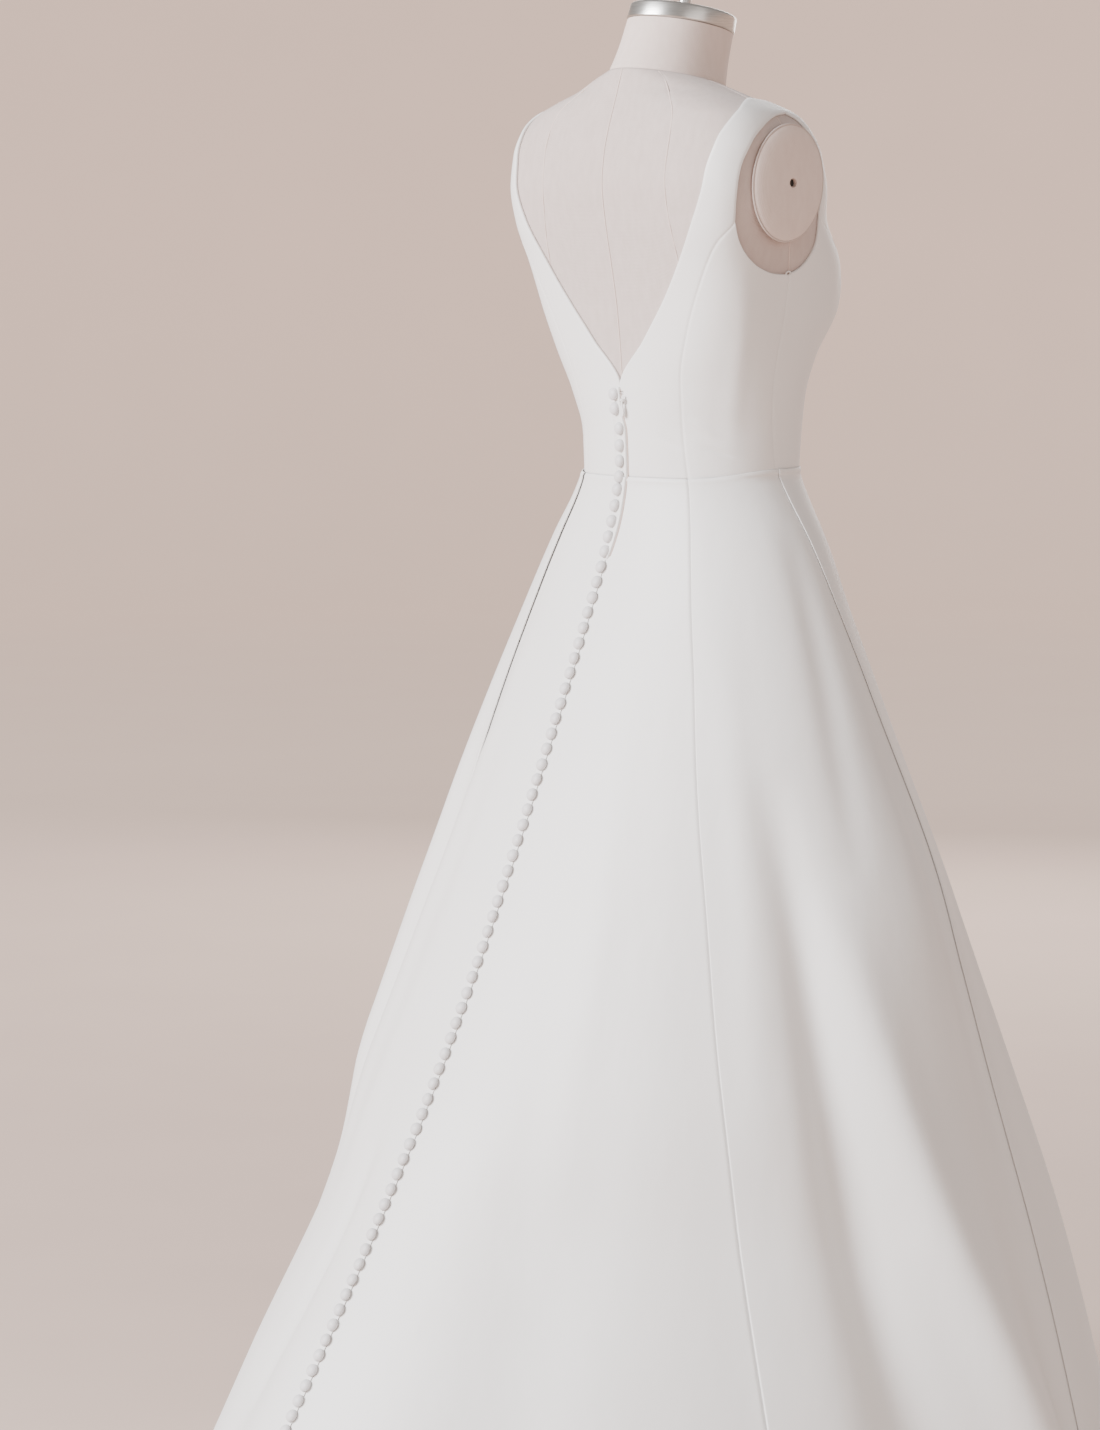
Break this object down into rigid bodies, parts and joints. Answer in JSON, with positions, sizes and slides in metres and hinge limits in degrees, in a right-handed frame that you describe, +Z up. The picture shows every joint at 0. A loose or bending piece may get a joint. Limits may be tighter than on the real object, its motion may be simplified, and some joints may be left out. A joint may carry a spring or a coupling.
{
  "type": "wedding dress on a limbless dress form",
  "caption": "Sleeveless A-line wedding gown with an open V back, a buttoned back placket, knife pleats and a short train, standing on a limbless dress form with a round foot.",
  "frame": {"origin": "on the floor under the middle of the stand's foot", "axes": "+Z up, the gown faces -Y and its train lies toward +Y, the wearer's right is at -X"},
  "size_m": [1.133, 1.3884, 1.5154],
  "materials": {
    "ivory satin": "smooth, soft sheen",
    "covered buttons": "smooth, soft sheen",
    "form linen": "fine plain weave",
    "brushed steel": "brushed",
    "white zip enamel": "semi-gloss enamel"
  },
  "bodies": {
    "dress_and_form": {"bodice_back_right": "ivory satin", "bodice_back_left": "ivory satin", "bodice_back_side_right": "ivory satin", "bodice_back_side_left": "ivory satin", "bodice_front_side_right": "ivory satin", "bodice_front_side_left": "ivory satin", "bodice_front": "ivory satin", "skirt_back_right": "ivory satin", "skirt_back_left": "ivory satin", "skirt_side_right": "ivory satin", "skirt_side_left": "ivory satin", "skirt_front": "ivory satin", "back_placket": "covered buttons", "button_tape_upper": "covered buttons", "button_tape_middle": "covered buttons", "button_tape_train": "covered buttons", "zip_slider": "white zip enamel", "form_torso": "form linen", "form_neck": "form linen", "arm_plate_right": "form linen", "arm_plate_left": "form linen", "neck_cap": "brushed steel", "neck_knob": "brushed steel", "stand_pole": "brushed steel", "stand_foot": "brushed steel"},
    "zip_tab": {"zip_pull_tab": "white zip enamel"}
  },
  "joints": [
    {"name": "zip_tab_hinge", "type": "hinge", "parent": "dress_and_form", "child": "zip_tab", "pos_m": [-0.0064, 0.09178, 1.11207], "axis": [1, 0, 0], "range_deg": [0, 150]}
  ]
}
